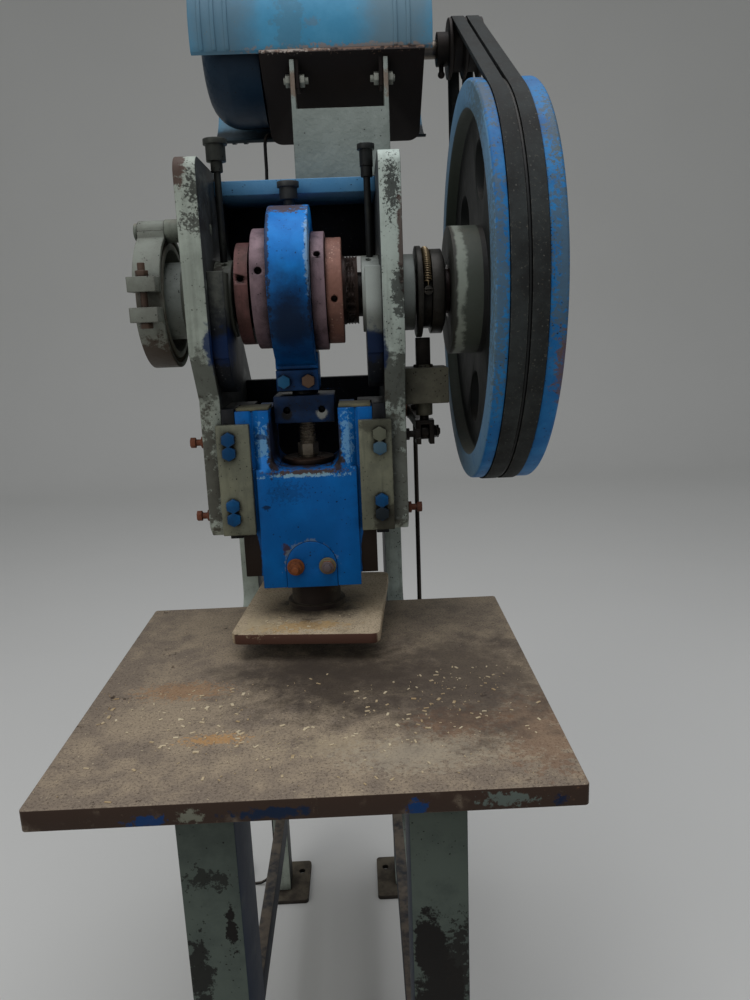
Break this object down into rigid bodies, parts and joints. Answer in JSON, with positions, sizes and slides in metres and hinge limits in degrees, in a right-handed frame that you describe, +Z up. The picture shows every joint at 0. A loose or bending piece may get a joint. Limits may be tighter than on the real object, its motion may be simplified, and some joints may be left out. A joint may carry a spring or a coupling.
{
  "type": "mechanical stamping press",
  "caption": "Open-front eccentric press on a plate table: two side plates, an adjustable eccentric drive, a guided ram with a press plate, a belt-driven flywheel and a motor under a hood.",
  "frame": {"origin": "on the floor, at the middle of the anchor holes, under the crankshaft's axis and between the two side plates", "axes": "+X along the crankshaft towards the flywheel (the viewer's right), +Y to the rear of the machine, +Z up"},
  "size_m": [0.726, 0.9132, 1.841],
  "materials": {
    "plate_paint": "grey-green paint, chipped, oily",
    "blue_paint": "cobalt blue brush paint, worn",
    "dark_paint": "blackened blue paint, oily",
    "leg_paint": "grey-green paint with peeled black patches",
    "table_rust": "bare rusty plate with oil and sawdust",
    "olive_paint": "olive-grey paint, oily",
    "bolt_steel": "hexagon bolts, some painted blue, some rusty",
    "rusty_steel": "rusty machined steel",
    "oily_steel": "dark oily steel",
    "brown_steel": "red-brown oxidised steel discs",
    "copper_steel": "coppery worn steel",
    "bronze": "bronze bush",
    "grey_cast": "painted cast iron",
    "black_cast": "black cast iron",
    "bracket_paint": "light grey paint, bumpy",
    "motor_paint": "navy paint, dusty",
    "hood_plastic": "blue drum plastic, chalky",
    "belt_rubber": "dark grey belt rubber",
    "cable_rubber": "black cable sheath",
    "lining": "brake lining",
    "cup_paint": "dark greasy cups"
  },
  "bodies": {
    "frame": {"side_plate_left": "plate_paint", "side_plate_right": "plate_paint", "tie_plate": "blue_paint", "back_plate": "dark_paint", "cross_member": "dark_paint", "table_plate": "table_rust", "front_leg_left": "leg_paint", "front_leg_right": "leg_paint", "foot_plates": "oily_steel", "side_rails": "dark_paint", "guide_blocks": "oily_steel", "gib_plates": "olive_paint", "frame_bolts": "bolt_steel", "set_screws": "rusty_steel", "bearing_housings": "grey_cast", "bearing_bushes": "bronze", "motor_bracket": "bracket_paint", "clutch_bracket": "olive_paint", "brake_anchor": "oily_steel", "brake_band": "rusty_steel", "brake_lining": "lining", "grease_cups": "cup_paint", "v_belts": "belt_rubber", "pivot_pins": "oily_steel", "power_cable": "cable_rubber", "cable_clips": "cup_paint", "cable_coil": "cable_rubber", "plug": "cable_rubber"},
    "crank": {"crankshaft": "brown_steel", "brake_drum": "rusty_steel", "lock_disc": "brown_steel", "ring_nut": "copper_steel", "clutch_collar": "oily_steel", "clutch_spring": "oily_steel", "shaft_nut": "oily_steel"},
    "bush": {"eccentric_bush": "brown_steel"},
    "rod": {"connecting_rod": "blue_paint", "rod_clamp_cap": "blue_paint", "rod_bolts": "bolt_steel", "rod_foot": "dark_paint", "rod_grease_cup": "cup_paint"},
    "ram": {"ram": "blue_paint", "ram_top_plates": "olive_paint", "ball_retainer": "rusty_steel", "shank_cap": "blue_paint", "shank_bolts": "rusty_steel", "press_plate": "table_rust"},
    "screw": {"adjusting_screw": "oily_steel"},
    "wheel": {"flywheel": "blue_paint", "flywheel_bush": "bronze"},
    "platform": {"motor_platform": "black_cast", "motor_body": "motor_paint", "fan_cowl": "motor_paint", "drum_hood": "hood_plastic"},
    "rotor": {"motor_shaft": "oily_steel", "motor_pulley": "black_cast"},
    "latch": {"trip_plunger": "oily_steel"},
    "lever": {"trip_lever": "oily_steel"},
    "pull_rod": {"pull_rod": "oily_steel"},
    "pedal": {"pedal": "oily_steel"}
  },
  "joints": [
    {"name": "crank_turn", "type": "hinge", "parent": "frame", "child": "crank", "pos_m": [0, 0, 1.303], "axis": [1, 0, 0], "continuous": true},
    {"name": "bush_turn", "type": "hinge", "parent": "crank", "child": "bush", "pos_m": [0, 0, 1.309], "axis": [1, 0, 0], "continuous": true},
    {"name": "rod_swing", "type": "hinge", "parent": "bush", "child": "rod", "pos_m": [0, 0, 1.315], "axis": [1, 0, 0], "continuous": true},
    {"name": "ram_height", "type": "slide", "parent": "rod", "child": "ram", "axis": [0, 0, 1], "range_m": [0, 0.008]},
    {"name": "screw_turn", "type": "hinge", "parent": "ram", "child": "screw", "pos_m": [0, 0, 1.1], "axis": [0, 0, 1], "range_deg": [0, 720.1]},
    {"name": "flywheel_spin", "type": "hinge", "parent": "crank", "child": "wheel", "pos_m": [0, 0, 1.303], "axis": [1, 0, 0], "continuous": true},
    {"name": "motor_tilt", "type": "hinge", "parent": "frame", "child": "platform", "pos_m": [0, 0.136, 1.634], "axis": [1, 0, 0], "range_deg": [-3, 0], "deforming": ["v_belts"]},
    {"name": "motor_spin", "type": "hinge", "parent": "platform", "child": "rotor", "pos_m": [0, 0.249, 1.706], "axis": [1, 0, 0], "continuous": true},
    {"name": "pedal_press", "type": "hinge", "parent": "frame", "child": "pedal", "pos_m": [0, 0.36, 0.095], "axis": [1, 0, 0], "range_deg": [0, 1.86], "stiffness_Nm_per_rad": 60, "springref_deg": -14.32},
    {"name": "rod_pull", "type": "slide", "parent": "frame", "child": "pull_rod", "axis": [0, 0, 1], "range_m": [-0.00498, 0]},
    {"name": "lever_turn", "type": "hinge", "parent": "frame", "child": "lever", "pos_m": [0, 0.3, 1.0935], "axis": [1, 0, 0], "range_deg": [0, 3.07]},
    {"name": "latch_drop", "type": "slide", "parent": "frame", "child": "latch", "axis": [0, 0, 1], "range_m": [-0.01605, 0]}
  ],
  "couplings": [
    {"joint": "bush_turn", "follows": "crank_turn", "ratio": -2},
    {"joint": "rod_swing", "follows": "crank_turn", "ratio": 1},
    {"joint": "screw_turn", "follows": "ram_height", "rad_per_m": 1570.8},
    {"joint": "motor_spin", "follows": "flywheel_spin", "ratio": 6.6386},
    {"joint": "rod_pull", "follows": "pedal_press", "m_per_rad": -0.153},
    {"joint": "lever_turn", "follows": "pedal_press", "ratio": 1.6452},
    {"joint": "latch_drop", "follows": "pedal_press", "m_per_rad": -0.49355}
  ]
}
